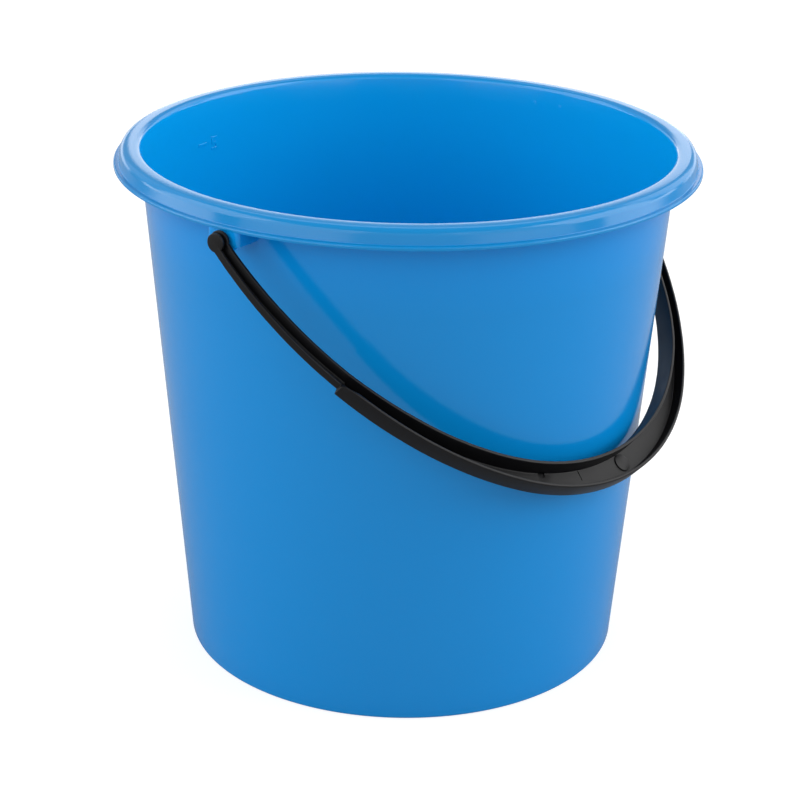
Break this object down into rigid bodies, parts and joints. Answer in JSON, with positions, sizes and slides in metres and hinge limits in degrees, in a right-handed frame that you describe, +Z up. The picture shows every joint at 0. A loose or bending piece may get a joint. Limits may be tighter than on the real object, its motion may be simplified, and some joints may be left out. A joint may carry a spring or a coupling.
{
  "type": "wash bucket",
  "caption": "Tapered round bucket with a broad turned-down rim, moulded ears, a foot ring and an inside litre scale, carried by a bail handle that swings over the rim.",
  "frame": {"origin": "centre of the foot ring, on the ground", "axes": "+Z up along the bucket's axis, X along the bail's pivots, and the bail hangs towards -Y"},
  "size_m": [0.2374, 0.228, 0.206],
  "materials": {
    "blue_plastic": "glossy injection-moulded polypropylene",
    "black_plastic": "satin injection-moulded polypropylene"
  },
  "bodies": {
    "bucket": {"bucket": "blue_plastic"},
    "bail": {"bail": "black_plastic"}
  },
  "joints": [
    {"name": "bail_swing", "type": "hinge", "parent": "bucket", "child": "bail", "pos_m": [0, 0, 0.1952], "axis": [-1, 0, 0], "range_deg": [0, 266.5]}
  ]
}
